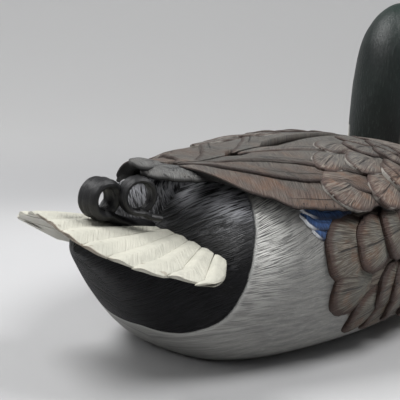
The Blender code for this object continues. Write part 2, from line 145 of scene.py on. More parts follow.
def skin(y, turn, swell=0.0):
    """Points of the body's skin; turn is the angle from the ridge of the back, plus to the left."""
    c, s = sin(turn), cos(turn)
    middle = middle_height(y)
    reach = where(s >= 0, back_height(y) - middle, middle - keel_height(y)) + swell
    bend = where(s >= 0, 2 / TOP_BEND, 2 / BOTTOM_BEND)
    x = (half_width(y) + swell) * np.sign(c) * np.abs(c) ** bend
    return stack(x, y, middle + reach * np.sign(s) * np.abs(s) ** bend)


def skin_top(x, y):
    """Height of the back above a point of the plan."""
    share = unit(np.abs(x) / half_width(y))
    middle = middle_height(y)
    return middle + (back_height(y) - middle) * (1 - share**TOP_BEND) ** (1 / TOP_BEND)


TAIL_TIP, TAIL_SWEEP, TAIL_ROOT_Y = 0.215, 0.03, 0.138
TAIL_ROOT_HALF, TAIL_TIP_HALF = 0.039, 0.07
TAIL_EDGE_Z, TAIL_TILT, TAIL_ARCH, TAIL_WAVE = 0.0785, 0.002, 0.0115, 0.0035
TAIL_SLOPE, TAIL_TWIST, TAIL_DROOP, DROOP_REACH = 0.12, 0.05, 0.3, 0.022
TAIL_ROLL, TAIL_ROLL_SLOPE = 0.0042, 0.125
TAIL_FEATHERS = 11


def tail_tip(u):
    return TAIL_TIP - TAIL_SWEEP * np.abs(u) ** 1.7


def tail_point(u, y, lift=0.0):
    """A point of the fan's middle surface: u runs across it from -1 (right) to 1 (left)."""
    spread = (y - TAIL_ROOT_Y) / (TAIL_TIP - TAIL_SWEEP - TAIL_ROOT_Y)
    half = np.minimum(TAIL_ROOT_HALF + (TAIL_TIP_HALF - TAIL_ROOT_HALF) * spread, TAIL_TIP_HALF)
    roll = smooth(u, 0.35, -0.35)
    edge = TAIL_EDGE_Z + TAIL_TILT * u - TAIL_ARCH * u * u + TAIL_WAVE * sin(pi * u)
    edge = edge - TAIL_ROLL * roll
    slope = TAIL_SLOPE + TAIL_TWIST * u - TAIL_ROLL_SLOPE * roll
    back = tail_tip(u) - y
    droop = TAIL_DROOP * np.maximum(u, 0) ** 4 * np.clip(back, 0, DROOP_REACH)
    return stack(u * half, y, edge - slope * back - droop + lift)


RUMP_SWELL, TAIL_SEAT, UNDERSIDE_TURN = 0.0085, 0.0026, 1.9


def body_surface(y, turn):
    """The skin with the rump filled up to the tertials, then let down to the root of the tail."""
    high = smooth(y, 0.05, 0.105) * smooth(y, 0.158, 0.13)
    points = skin(y, turn, RUMP_SWELL * high * smooth(np.abs(turn), 1.25, 0.6))
    x, y, z = points[..., 0], points[..., 1], points[..., 2]
    lip = 0.148 + 0.05 * x + 0.004 * bell(x - 0.004, 0.02)
    under = tail_point(np.clip(x / 0.055, -1, 1), y)[..., 2] - TAIL_SEAT
    long = 0.01 + 0.036 * smooth(np.abs(x), 0.05, 0.015)
    share = unit((y - lip + long) / long)
    drop = (1 - np.sqrt(1 - share**2)) * (np.abs(turn) < UNDERSIDE_TURN)
    points[..., 2] = where(z > under, z - drop * (z - under), z)
    return points


# ---- meshes
def grid_faces(rows, columns, start, closed, flip):
    """Quads of a grid of points, the first of which has the index start."""
    i, j = np.meshgrid(np.arange(rows - 1), np.arange(columns if closed else columns - 1), indexing="ij")
    k = (j + 1) % columns
    a, b = start + i * columns, start + (i + 1) * columns
    quads = np.stack([a + j, a + k, b + k, b + j], -1).reshape(-1, 4)
    return (quads[:, ::-1] if flip else quads).tolist()


class Batch:
    """Grids of points gathered into one object, with the fields that their paint reads."""

    def __init__(self):
        self.points, self.faces, self.fields, self.count = [], [], {}, 0

    def add(self, points, fields, outwards, closed=False, cap=False):
        """Adds one grid; outwards, a direction per point or one for all, says which way it faces."""
        rows, columns = points.shape[:2]
        middle = (slice(rows // 4, 3 * rows // 4 + 1), slice(columns // 4, 3 * columns // 4 + 1))
        across, down = (np.gradient(points, axis=axis)[middle] for axis in (1, 0))
        out = np.broadcast_to(outwards, points.shape)[middle]
        flip = (np.cross(across, down) * out).sum() < 0
        self.faces += grid_faces(rows, columns, self.count, closed, flip)
        if cap:
            for row in (0, rows - 1):
                ring = [self.count + row * columns + j for j in range(columns)]
                self.faces.append(ring if (row == 0) == flip else ring[::-1])
        self.points.append(points.reshape(-1, 3))
        for key, value in fields.items():
            self.fields.setdefault(key, []).append(np.broadcast_to(value, points.shape).reshape(-1, 3))
        self.count += rows * columns

    def finish(self, name, material, side=1, sharp=None):
        """Makes the object; side -1 mirrors it, and edges over sharp degrees stay crisp."""
        faces = [face[::-1] for face in self.faces] if side < 0 else self.faces
        mesh = bpy.data.meshes.new(name)
        mesh.from_pydata((np.vstack(self.points) * [side, 1, 1]).tolist(), [], faces)
        for key, parts in self.fields.items():
            layer = mesh.attributes.new(key, "FLOAT_VECTOR", "POINT")
            layer.data.foreach_set("vector", np.concatenate(parts).astype(np.float32).ravel())
        mesh.shade_smooth()
        if sharp:
            mesh.set_sharp_from_angle(angle=radians(sharp))
        mesh.materials.append(material)
        obj = bpy.data.objects.new(name, mesh)
        bpy.context.scene.collection.objects.link(obj)
        return obj


def tube(name, material, points, outwards, fields=None, sharp=None):
    """An object of one grid whose columns close on themselves, with both its ends filled."""
    batch = Batch()
    batch.add(points, fields or {}, outwards, closed=True, cap=True)
    return batch.finish(name, material, sharp=sharp)


class Carrier:
    """A surface that feathers lie on, addressed by station y and arc length from the ridge."""

    def __init__(self, surface, front, rear, last):
        self.y = linspace(front, rear, 460)
        self.turn = radians(linspace(0.5, last, 400))
        self.lengths = arc_lengths(surface(self.y[:, None], self.turn))
        self.arc = linspace(0, self.lengths.max(), 420)
        turns = np.array([np.interp(self.arc, row, self.turn) for row in self.lengths])
        self.points = surface(self.y[:, None], turns)
        normal = np.cross(np.gradient(self.points, axis=0), np.gradient(self.points, axis=1))
        normal /= np.maximum(np.linalg.norm(normal, axis=2, keepdims=True), 1e-12)
        out = self.points - [0, 0, 0.05]
        self.normals = normal * np.sign((normal * out * [1, 0, 1]).sum(2, keepdims=True))

    def spot(self, y, degrees):
        """(y, arc length) in metres of a station in mm and an angle from the ridge."""
        row = int(np.clip(np.searchsorted(self.y, y * MM), 0, len(self.y) - 1))
        return np.array([y * MM, np.interp(radians(degrees), self.turn, self.lengths[row])])

    def at(self, y, arc, lift):
        """(points, outward normals) at arrays of stations and arc lengths."""
        i = np.clip((y - self.y[0]) / (self.y[1] - self.y[0]), 0, len(self.y) - 1.001)
        j = np.clip(arc / self.arc[1], 0, len(self.arc) - 1.001)
        i0, j0 = i.astype(int), j.astype(int)
        fi, fj = (i - i0)[..., None], (j - j0)[..., None]
        found = []
        for table in (self.points, self.normals):
            low = table[i0, j0] * (1 - fj) + table[i0, j0 + 1] * fj
            high = table[i0 + 1, j0] * (1 - fj) + table[i0 + 1, j0 + 1] * fj
            found.append(low * (1 - fi) + high * fi)
        return found[0] + found[1] * lift[..., None], found[1]


# ---- feathers
def feather_fields(feather, kind, barb):
    """What feather_paint reads: (across, run, distance inside the edge) in mm, (identity, share of
    the length, tone), and coordinates whose first follows the barbs' spacing."""
    fields = np.broadcast_arrays(stack(*feather), stack(*kind), stack(*barb))
    return dict(zip(("feather", "kind", "barb"), fields))


SUNK_EDGE, OUTSIDE = -0.7, -1.0


def scale_feather(batch, carrier, tip, root, half, lift, tone=0.0, crown=0.8, blunt=2.3):
    """One round feather, in stations of mm and degrees from the ridge; half and lift are in mm."""
    start, end = carrier.spot(*root), carrier.spot(*tip)
    length = np.linalg.norm(end - start)
    axis = (end - start) / length
    v, w = quarter_turn(26)[:, None], half_turn(27)
    ident = rng.random()
    ragged = 1 + 0.02 * sin(v * 23 + ident * 40) + 0.012 * sin(v * 51 + ident * 90)

    def outline(v):
        taper = 0.74 + 0.26 * smooth(v, 0, 0.5)
        return half * MM * taper * unit(1 - unit((v - 0.38) / 0.62) ** blunt) ** (1 / 2.1)

    across, down = w * (outline(v) * ragged), v * length * np.ones_like(w)
    rim = linspace(0, 1, 90)
    gap = np.hypot(np.abs(across)[..., None] - outline(rim), down[..., None] - rim * length).min(-1) / MM
    gap[:, [0, -1]] = 0
    gap[-1] = 0
    height = -0.3 + (lift + 0.3) * smooth(v, -0.1, 0.95) + crown * (1 - w**2) * smooth(v, 0, 0.5)
    height -= 0.55 * (1 - unit(gap / 1.5)) ** 2
    height += 0.22 * sin(across / MM * 0.55 + ident * 9) * smooth(v, 0.3, 0.8)

    sides = ((0, 0), (1, 1))
    across, down = np.pad(across, sides, "edge"), np.pad(down, sides, "edge")
    height = np.pad(height, sides, constant_values=SUNK_EDGE)
    gap = np.pad(gap, sides, constant_values=OUTSIDE)
    y = start[0] + axis[0] * down - axis[1] * across
    arc = start[1] + axis[1] * down + axis[0] * across
    points, normals = carrier.at(y, arc, height * MM)
    spoke = np.arctan2(across, down + 0.25 * length) * 34
    batch.add(points, feather_fields(
        (across / MM, down / MM, gap), (ident, v, tone), (spoke, down / MM, ident * 50)), normals)


def lapped_feather(batch, carrier, line, reach, lift, tone, slant):
    """A long feather whose lower edge follows a line of (mm, degrees); it runs up under the next."""
    path = smooth_line([carrier.spot(*place) for place in line], 30)
    run = arc_lengths(path)[:, None] / MM
    heading = headings(path)
    inwards = stack(heading[:, 1], -heading[:, 0])
    if inwards[:, 1].mean() > 0:
        inwards = -inwards
    ident = rng.random()
    d = (linspace(0, 1, 26) ** 1.6) * reach
    wave = 0.24 * sin(run * 0.35 + ident * 20) + 0.12 * sin(run * 1.1 + ident * 50)
    ends = smooth(run, -1, 6) * smooth(run[-1] - run, -1, 5)
    sink = 0.35
    height = (lift + sink) * (1 - (d / reach) ** 1.1) * ends - sink
    height += 0.5 * sin(unit(d / reach) * pi) * ends
    height -= 0.5 * (1 - unit(d / 1.2)) ** 2
    rim = ((0, 0), (1, 0))
    offset = np.pad(d + wave * np.exp(-d / 2), rim, "edge")
    height = np.pad(height, rim, constant_values=-0.6)
    d = np.concatenate([[OUTSIDE], d])
    y = path[:, :1] + inwards[:, :1] * offset * MM
    arc = path[:, 1:] + inwards[:, 1:] * offset * MM
    height = where(height > 0, height * (0.25 + 0.75 * smooth(arc / MM, 3, 15)), height)
    points, normals = carrier.at(y, np.maximum(arc, 0), height * MM)
    batch.add(points, feather_fields(
        (d - reach * 0.42, run, d), (ident, run / run[-1], tone),
        (run * 1.3 + slant * d, d + run * 0.3, ident * 50)), normals)


# ---- paint
def linear(colour):
    """Linear colour from display values: hex digits, or three numbers of 0 to 255."""
    c = np.array(list(bytes.fromhex(colour)) if isinstance(colour, str) else colour) / 255
    return tuple(float(k) for k in where(c <= 0.04045, c / 12.92, ((c + 0.055) / 1.055) ** 2.4))


def shade(colour, share):
    """A share of a colour's display values."""
    return [c * share for c in bytes.fromhex(colour)]


class Value:
    """One node's output: a number, a place or a colour that later nodes work on."""

    def __init__(self, paint, socket):
        self.paint, self.socket = paint, socket

    def __add__(self, other):
        return self.paint.math("ADD", self, other)

    def __mul__(self, other):
        return self.paint.math("MULTIPLY", self, other)

    def __sub__(self, number):
        return self + -number

    def __abs__(self):
        return self.paint.math("ABSOLUTE", self)

    def ramp(self, low, high, a=0.0, b=1.0):
        """A smooth step from a to b as this goes from low to high."""
        inputs = {0: self, 1: low, 2: high, 3: a, 4: b}
        return self.paint.node("MapRange", inputs, interpolation_type="SMOOTHSTEP")

    def noise(self, scale, detail=2.0, rough=0.5, warp=0.0):
        """Noise over this place, of one scale or of one along each axis."""
        place = self
        if isinstance(scale, tuple):
            place = self.paint.node("VectorMath", {0: self, 1: scale}, operation="MULTIPLY")
            scale = 1.0
        inputs = {"Vector": place, "Scale": scale, "Detail": detail, "Roughness": rough, "Distortion": warp}
        return self.paint.node("TexNoise", inputs)

    def wash(self, factor, colour, blend="MIX"):
        """Lays another colour over this one."""
        self.socket = self.paint.mix(factor, self, colour, blend).socket
        return self

    def split(self):
        made = self.paint.make("SeparateXYZ", {0: self})
        return [Value(self.paint, output) for output in made.outputs[:3]]


class Paint:
    """One node material; its methods add nodes."""

    def __init__(self, name):
        self.material = bpy.data.materials.new(name)
        self.material.use_nodes = True
        self.tree = self.material.node_tree
        self.place = Value(self, self.make("TexCoord", {}).outputs["Object"])

    def put(self, socket, value):
        if isinstance(value, Value):
            self.tree.links.new(value.socket, socket)
        elif socket.type == "RGBA":
            socket.default_value = (*linear(value), 1)
        else:
            socket.default_value = value

    def make(self, kind, inputs, **settings):
        made = self.tree.nodes.new("ShaderNode" + kind)
        for key, value in settings.items():
            setattr(made, key, value)
        for key, value in inputs.items():
            self.put(made.inputs[key], value)
        return made

    def node(self, kind, inputs, output=0, **settings):
        return Value(self, self.make(kind, inputs, **settings).outputs[output])

    def math(self, operation, *values):
        return self.node("Math", dict(enumerate(values)), operation=operation)

    def mix(self, factor, a, b, blend="MIX"):
        return self.node("Mix", {0: factor, 6: a, 7: b}, 2, data_type="RGBA", blend_type=blend)

    def join(self, x, y, z=0.0):
        return self.node("CombineXYZ", {0: x, 1: y, 2: z})

    def field(self, name):
        return self.node("Attribute", {}, "Vector", attribute_name=name)

    def bump(self, height, depth, after=None):
        inputs = {"Height": height, "Distance": depth, "Strength": 1.0}
        if after is not None:
            inputs["Normal"] = after
        return self.node("Bump", inputs)

    def done(self, colour, rough, normal=None, metal=0.0, **more):
        inputs = {"Base Color": colour, "Roughness": rough, "Metallic": metal}
        inputs.update({key.replace("_", " "): value for key, value in more.items()})
        if normal is not None:
            inputs["Normal"] = normal
        for key, value in inputs.items():
            self.put(self.tree.nodes["Principled BSDF"].inputs[key], value)
        return self.material


def coat_paint():
    """The body: black combed rump, pale grey flanks, chestnut breast and a grey-brown back."""
    p = Paint("body_coat")
    across, run, border = p.field("coat").split()
    y, z = p.place.split()[1:]
    coat = p.join(across + (p.place.noise(16) - 0.5) * 9.0, run)
    broad = coat.noise((0.5, 0.075, 0), 3, 0.6, 0.3)
    fine = coat.noise((1.35, 0.075, 0), 2, 0.5, 0.2)
    hair = coat.noise((3.4, 0.2, 0))
    cloud = p.place.noise(28, 4, 0.6)
    ripple = coat.noise((0.5, 1.5, 0), 2, 0.5, 0.6)
    upper = z.ramp(0.03, 0.078)

    flank = p.mix(broad.ramp(0.3, 0.72), "7c7c7a", "989793")
    flank.wash(hair.ramp(0.52, 0.68) * 0.26, "c4c3be")
    flank.wash(ripple.ramp(0.55, 0.7) * 0.22, "606162")
    flank.wash(cloud.ramp(0.5, 0.75) * 0.22, "706f6c")
    near = border.ramp(-30.0, -4.0) * fine.ramp(0.42, 0.54) * (upper * 0.88 + 0.12)
    flank.wash(near, "eeede8")
    gap = border.ramp(-30.0, -8.0) * fine.ramp(0.44, 0.34) * (upper * 0.6)
    flank.wash(gap, "686867")
    lip = border.ramp(-3.2, -0.4) * (upper * 0.5 + 0.35)
    flank.wash(lip, "e2e2de")
    in_pocket = (p.field("pocket").split()[0] + (fine - 0.5) * 5.0).ramp(-0.5, 2.5)
    flank.wash(in_pocket, p.mix(fine.ramp(0.42, 0.6), "40342e", "746c62"))

    breast = p.mix(cloud.ramp(0.35, 0.7), "5c3424", "7e4e36")
    breast.wash(fine.ramp(0.5, 0.66) * 0.4, "3c221a")
    back = p.mix(broad.ramp(0.3, 0.7), "58524e", "807870")
    back.wash(fine.ramp(0.54, 0.7) * 0.4, "3a3431")
    rump = p.mix(broad.ramp(0.3, 0.75), "0a0a0c", "19191c")
    # Paler higher up the rump: a little dusty wear, mostly painted sheen and painted light under the wings'
    # overhang.
    wear_and_sheen = z.ramp(0.068, 0.092) * (fine * 0.6 + hair * 0.4).ramp(0.4, 0.6)
    rump.wash(wear_and_sheen * 0.9, "626367")
    # Paler grey still higher, just under the wings: painted sheen.
    rump.wash(z.ramp(0.08, 0.094) * fine.ramp(0.38, 0.54) * 0.85, "a8a9ae")

    edge = border + (fine - 0.5) * 2.2 + (broad - 0.5) * 1.2
    in_rump = edge.ramp(-0.35, 0.35)
    front = y + (cloud - 0.5) * 0.05 + (fine - 0.5) * 0.02 + z.ramp(0.085, 0.105) * 0.014
    colour = flank.wash((z + (cloud - 0.5) * 0.02).ramp(0.09, 0.1), back)
    colour.wash(front.ramp(-0.09, -0.108), breast)
    colour.wash(in_rump, rump)

    combed = broad * 0.9 + fine * 0.55 + hair * 0.18 + fine.ramp(0.46, 0.36) * -0.55
    strong = upper * border.ramp(-45.0, -5.0, 0.35, 0.85) + 0.15
    normal = p.bump(strong * combed, edge.ramp(-0.3, 0.3, 0.0015, 0.003))
    normal = p.bump(cloud, 0.0006, normal)
    low = in_rump * z.ramp(0.08, 0.062)
    rough = cloud * 0.14 + edge.ramp(-0.3, 0.3, 0.6, 0.33) + low * 0.16
    return p.done(colour, rough, normal, Specular_IOR_Level=low * -0.34 + 0.5)


def feather_paint(name, heart, body, rim, rim_width, light, warm, cool, light_share=0.6, fringe=None,
                  fringe_width=0.8, tipped=False, dark="221d1b", groove=1.0, rough=0.56, relief=1.0,
                  dusty=0.0):
    """A carved feather: barbs, a shaft groove, a few splits, and a rim of its own colour."""
    p = Paint(name)
    feather = p.field("feather").split()
    across, edge = feather[0], feather[2]
    ident, share, tone = p.field("kind").split()
    barb = p.field("barb")
    coarse = barb.noise((0.36, 0.05, 1), 2, 0.5, 0.2)
    barbs = barb.noise((1.9, 0.08, 1), 2, 0.5, 0.25)
    fine = barb.noise((4.4, 0.2, 1))
    cloud = p.place.noise(45, 3, 0.6)
    patch = p.place.noise(75)
    ragged = edge + (barbs - 0.5) * 3.2 + (coarse - 0.5) * 2.0

    colour = p.mix((share + cloud * 0.4).ramp(0.35, 1.0), heart, body)
    colour.wash(patch.ramp(0.5, 0.66) * 0.6, warm)
    colour.wash(patch.ramp(0.46, 0.32) * 0.6, cool)
    if dusty:
        film = (p.place.split()[2] + (cloud - 0.5) * 0.02).ramp(0.1, 0.113)
        colour.wash(film * dusty, "616361")
    colour.wash(barbs.ramp(0.5, 0.62) * light_share, light)
    colour.wash(fine.ramp(0.52, 0.62) * (light_share * 0.5), light)
    colour.wash(barbs.ramp(0.46, 0.36) * 0.62, shade(dark, 1.4))
    colour.wash(ragged.ramp(rim_width + 1.8, rim_width - 1.6) * 0.85, rim)
    # Darker within 1.5 mm of the edge: painted shadow line where each feather meets its neighbour.
    colour.wash(edge.ramp(1.5, 0.0) * 0.35, dark)
    if fringe:
        along_rim = share.ramp(0.62, 0.8) if tipped else tone.ramp(0.01, 0.03) * cloud.ramp(0.4, 0.58)
        thin = edge + (fine - 0.5) * 0.5
        colour.wash(thin.ramp(fringe_width + 0.35, fringe_width - 0.25) * along_rim, fringe)
    near_shaft = abs(across + (cloud - 0.5) * 1.6).ramp(0.65, 0.15)
    shaft = near_shaft * share.ramp(0.3, 0.42) * share.ramp(0.93, 0.8) * groove
    split = abs(coarse - 0.64).ramp(0.018, 0.005) * edge.ramp(10.0, 3.0) * edge.ramp(0.0, 1.2)
    cut = p.math("MAXIMUM", shaft, split)
    colour.wash(cut * 0.8, dark)
    # Undersides and the sunk skirt round each feather painted dark: painted shade.
    colour.wash(edge.ramp(-0.3, -0.9), shade(dark, 0.6))
    colour.wash((cloud - 0.3) * 0.3, "46403c", "OVERLAY")
    bright = tone + 1.0 + (ident - 0.5) * 0.22
    colour.wash(1.0, p.join(bright, bright, bright), "MULTIPLY")
    height = barbs * 0.8 + fine * 0.4 + cut * -0.9 + coarse * 0.5
    return p.done(colour, barbs * 0.16 + rough, p.bump(height, 0.0014 * relief))


def black_paint():
    """Glossy black of the curled feathers, ribbed along their length."""
    p = Paint("curl_black")
    across, run = p.field("feather").split()[:2]
    ribs = p.join(across * 1.6, run * 0.1).noise(1, 3, 0.6)
    cloud = p.place.noise(90, 3, 0.6)
    colour = p.mix(ribs.ramp(0.35, 0.7), "09090b", "161619")
    # Grey on the rib crests, in patches: painted sheen.
    colour.wash(ribs.ramp(0.56, 0.7) * cloud.ramp(0.4, 0.6) * 0.5, "3a3b3e")
    return p.done(colour, cloud * 0.2 + 0.34, p.bump(ribs + cloud, 0.0006))


def head_paint():
    """Dark bottle green with a satin sheen, and a white ring that is open at the nape."""
    p = Paint("head_green")
    y, z = p.place.split()[1:]
    long = p.place.noise((900, 900, 160), 3, 0.6)
    cloud = p.place.noise(38, 4, 0.6)
    soft = p.place.noise(11)
    green = p.mix(soft.ramp(0.35, 0.68) * y.ramp(-0.1, -0.135, 0.25, 1.0), "101515", "0c3024")
    green.wash(cloud.ramp(0.45, 0.7) * 0.6, "1c2322")
    green.wash(long.ramp(0.55, 0.7) * 0.35, "38403d")
    level = z + (cloud - 0.5) * 0.004 + (long - 0.5) * 0.003
    neck_ring = level.ramp(0.1075, 0.1085) * level.ramp(0.118, 0.117) * y.ramp(-0.102, -0.108)
    normal = p.bump(cloud, 0.0011, p.bump(long, 0.0004))
    return p.done(green.wash(neck_ring, "d6d4cc"), cloud * 0.22 + 0.36, normal)


def bill_paint():
    """Olive yellow, duller towards the root, with a dark nail."""
    p = Paint("bill_yellow")
    x, y = p.place.split()[:2]
    cloud = p.place.noise(120, 4, 0.6)
    colour = p.mix(cloud.ramp(0.3, 0.7), "a4983c", "bcac54")
    colour.wash(y.ramp(-0.196, -0.16) * 0.45, "787634")
    nail = (y + (cloud - 0.5) * 0.003).ramp(-0.2075, -0.21) * abs(x).ramp(0.005, 0.0035)
    normal = p.bump(cloud + p.place.noise(900) * 0.3, 0.0006)
    return p.done(colour.wash(nail, "221f1c"), cloud * 0.2 + 0.32, normal)


def eye_paint():
    """A brown glass eye with a black pupil, from the distance to its own axis."""
    p = Paint("eye_glass_brown")
    off = p.field("feather").split()[0]
    grain = p.place.noise(1600, 3, 0.6)
    colour = p.mix((off + grain * 0.4).ramp(2.4, 5.0), "5c3016", "28140c")
    return p.done(colour.wash(off.ramp(2.45, 2.25), "040404"), 0.04, Coat_Weight=1.0, Coat_Roughness=0.02)


def metal_paint(name, bright, dull, rough, metal, size):
    """Worn metal: bright where handled, dull in patches, with fine scratches."""
    p = Paint(name)
    patch = p.place.noise(size, 4, 0.65, 0.4)
    scratch = p.place.noise((300, 4200, 900))
    pits = p.place.noise(size * 9, 3, 0.6)
    colour = p.mix(patch.ramp(0.38, 0.66), bright, dull)
    colour.wash(pits.ramp(0.6, 0.7) * 0.6, shade(dull, 0.45))
    return p.done(colour, patch * 0.3 + rough, p.bump(patch + scratch * 0.3 + pits * 0.35, 0.0004), metal)


def wood_paint():
    """Pale turned hardwood, its grain along the dowel."""
    p = Paint("dowel_wood")
    grain = p.place.noise((700, 700, 40), 4, 0.6, 0.6)
    pores = p.place.noise((2600, 2600, 240))
    colour = p.mix(grain.ramp(0.3, 0.7), "c4a070", "9e764c")
    colour.wash(pores.ramp(0.6, 0.72) * 0.5, "684a30")
    return p.done(colour, grain * 0.2 + 0.55, p.bump(grain + pores, 0.0003))


def tail_paint():
    """Warm cream with soft barbs, shaded overlaps, and brown wear at the tips of the middle feathers."""
    p = Paint("tail_cream")
    edge, share, x = (p.field("feather").split()[2], p.field("kind").split()[1], p.place.split()[0])
    barb = p.field("barb")
    coarse = barb.noise((0.4, 0.06, 1), 2, 0.5, 0.3)
    barbs = barb.noise((1.2, 0.09, 1), 3, 0.6, 0.2)
    cloud = p.place.noise(60, 4, 0.6)
    colour = p.mix(cloud.ramp(0.32, 0.72), "c8c6b9", "b8b7ab")
    colour.wash(barbs.ramp(0.54, 0.68) * 0.22, "a8a496")
    colour.wash(edge.ramp(1.0, 0.1) * 0.35, "9e998a")
    wear_and_sheen = (edge + barbs * 2.0).ramp(2.1, 0.9) * share.ramp(0.9, 0.97) * abs(x - 0.004).ramp(0.034, 0.012)
    colour.wash(wear_and_sheen * 0.85, "705c4a")
    stain = p.place.noise(240).ramp(0.66, 0.74) * share.ramp(0.75, 0.97)
    colour.wash(stain * 0.5, "847460")
    # Paler where the surface faces down: painted light on the underside of the fan.
    facing = p.node("NewGeometry", {}, "Normal").split()[2]
    colour.wash(facing.ramp(0.1, -0.2) * 0.6, "e2dfd6")
    height = coarse * 0.7 + barbs * 0.45 + p.place.noise(600) * 0.12 + cloud * 0.4
    return p.done(colour, cloud * 0.15 + 0.55, p.bump(height, 0.0008))


# ---- body
# Front edge of the black rump, as (mm along the body, degrees off the ridge).
RUMP_BORDER = [(80, 0), (105, 14), (116, 25.7), (119.3, 29), (126.5, 39.2), (129.8, 47.4), (132.7, 59.5),
               (137.4, 79), (139.8, 93), (142.2, 101), (145.6, 117), (150.9, 137.5), (152.4, 149.8),
               (153.7, 161.5), (154.6, 172), (155.6, 180)]
# Rear edge of the plumage under the side pocket: degrees off the ridge, and mm along the body.
POCKET_TURN = [46, 52, 60, 77, 98, 117, 126, 180]
POCKET_REAR = [40, 66, 78, 88, 82, 58, 30, -90]
BALLAST_Y, BALLAST_REACH, BALLAST_ROUND, RECESS_TOP = -0.004, 0.039, 0.0173, 0.0059
RECESS_LIP, PAPER_GAP = 0.0014, 0.0001
STRAP_Y, STRAP_Z, STRAP_TILT = -0.1625, 0.03, radians(48)
STRAP_HALF, STRAP_REACH, STRAP_DEPTH, STRAP_LAND = 0.005, 0.0135, 0.01, 0.0004


def comb_lines(points, border):
    """Coordinates across and along the combed strokes, in mm; they turn at the border of the rump."""
    far, out, high = points[..., 1] / MM, np.abs(points[..., 0]) / MM, points[..., 2] / MM
    flank = 0.27 * out - high + 0.03 * far
    flank += smooth(high, 40, 85) * (0.43 * (out - 75) - 0.3 * np.clip(far - 105, -50, 50))
    rump = 0.52 * out - high - 0.147 * far
    behind = smooth(border, -0.6, 0.6)
    along_flank, along_rump = far, 0.57 * far - 0.82 * out - 0.4 * high
    return flank + (rump - flank) * behind, along_flank + (along_rump - along_flank) * behind


def flatten_strap_land(points):
    """Moves the skin under the strap back onto one plane."""
    c, s = cos(STRAP_TILT), sin(STRAP_TILT)
    dy, dz = points[..., 1] - STRAP_Y, points[..., 2] - STRAP_Z
    keel, out = dy * c - dz * s, -dy * s - dz * c
    inside = (np.abs(points[..., 0]) < STRAP_HALF) & (np.abs(keel) < STRAP_REACH)
    push = where(inside & (out > -STRAP_LAND) & (out < STRAP_DEPTH), out + STRAP_LAND, 0)
    points[..., 1] += push * s
    points[..., 2] += push * c


def body_skin(material):
    """The whole body as one dense skin, with the tail's seat, the ballast recess and the strap's flat."""
    rows = 390
    middle, reach = (BODY_FRONT + BODY_REAR) / 2, (BODY_REAR - BODY_FRONT) / 2
    crowded = middle - reach * cos(linspace(0, pi, rows))
    y = (0.45 * crowded + 0.55 * linspace(BODY_FRONT, BODY_REAR, rows))[:, None]
    turn = linspace(-pi, pi, 248, endpoint=False)
    points = body_surface(y, turn)
    around = np.abs(np.degrees(turn))
    edge_y, edge_turn = np.array(RUMP_BORDER, float).T
    slope = np.interp(around, edge_turn, np.gradient(edge_y, edge_turn * 1.2))
    border = (y / MM - np.interp(around, edge_turn, edge_y)) / np.sqrt(1 + slope**2)
    across, run = comb_lines(points, border)
    points[..., 2] = np.maximum(points[..., 2], 0.0)
    flatten_strap_land(points)
    batch = Batch()
    pocket = np.interp(around, POCKET_TURN, POCKET_REAR) - y / MM
    fields = {"coat": stack(across, run, border), "pocket": stack(pocket, 0, 0)}
    batch.add(points, fields, points - stack(0, y, middle_height(y)), closed=True)

    centres = (points[:-1] + points[1:]) / 2
    past = np.maximum(np.abs(centres[..., 1] - BALLAST_Y) - BALLAST_REACH, 0)
    inside = np.hypot(centres[..., 0], past) < BALLAST_ROUND + RECESS_LIP
    hole = (inside & (centres[..., 2] < 1e-5)).ravel()
    batch.faces = [face for face, gone in zip(batch.faces, hole) if not gone]
    a = circle(120)
    ends = where(sin(a) >= 0, BALLAST_REACH, -BALLAST_REACH)
    radius = BALLAST_ROUND + np.array([0.005, 0, 0, -0.012, -0.017])[:, None]
    height = np.array([-PAPER_GAP, -PAPER_GAP, RECESS_TOP, RECESS_TOP, RECESS_TOP])[:, None]
    seat = stack(radius * cos(a), BALLAST_Y + ends + radius * sin(a), height)
    coat = stack(seat[..., 0] / MM + 180, seat[..., 1] / MM, -60.0)
    batch.add(seat, {"coat": coat, "pocket": [-90, 0, 0]}, -UP, closed=True)
    return batch.finish("body_skin", material)


# Feathers of the side pocket as (tip, root, half width, lift): mm along the body, degrees off the ridge.
POCKET = [
    ((44, 119), (14, 107), 15, 1.0), ((63.9, 113.5), (33, 105), 16, 1.3), ((86.5, 96), (50, 93), 16.5, 1.7),
    ((91.5, 77.5), (46, 72), 19.5, 2.0), ((47, 98), (20, 95), 14.5, 2.5), ((68.5, 76), (28, 72), 16, 3.0),
    ((30, 113), (6, 104), 13, 3.0), ((33.7, 97), (4, 93), 14.5, 3.3), ((42.5, 73), (6, 69), 16.5, 3.7),
]
JITTER = 1.5  # mm and degrees
FLANK_FRONT, PLACED_FRONT = -138, 22


def side_pocket(name, side, material, carrier):
    """Flank feathers that hang over the wing's edge; each one in front laps over those behind."""
    batch = Batch()
    for tip, root, half, lift in POCKET:
        scale_feather(batch, carrier, tip, root, half, lift, crown=1.1, blunt=2.9)
    for row, station in enumerate(np.arange(24, -92, -17.0)):
        lift = 1.3 + 1.5 * smooth(station, -95, -60)
        for degrees in np.arange(116 if row % 2 else 107, 52, -17.5):
            jitter = rng.uniform(-JITTER, JITTER, 2)
            tip = (station + jitter[0] - 0.1 * (degrees - 85), degrees + jitter[1])
            root = (tip[0] - 32, tip[1] - 4)
            placed = tip[0] > PLACED_FRONT and 88 < degrees < 120
            if not placed and root[0] >= FLANK_FRONT:
                scale_feather(batch, carrier, tip, root, 13.5, lift, crown=0.9)
    return batch.finish(name, material, side)


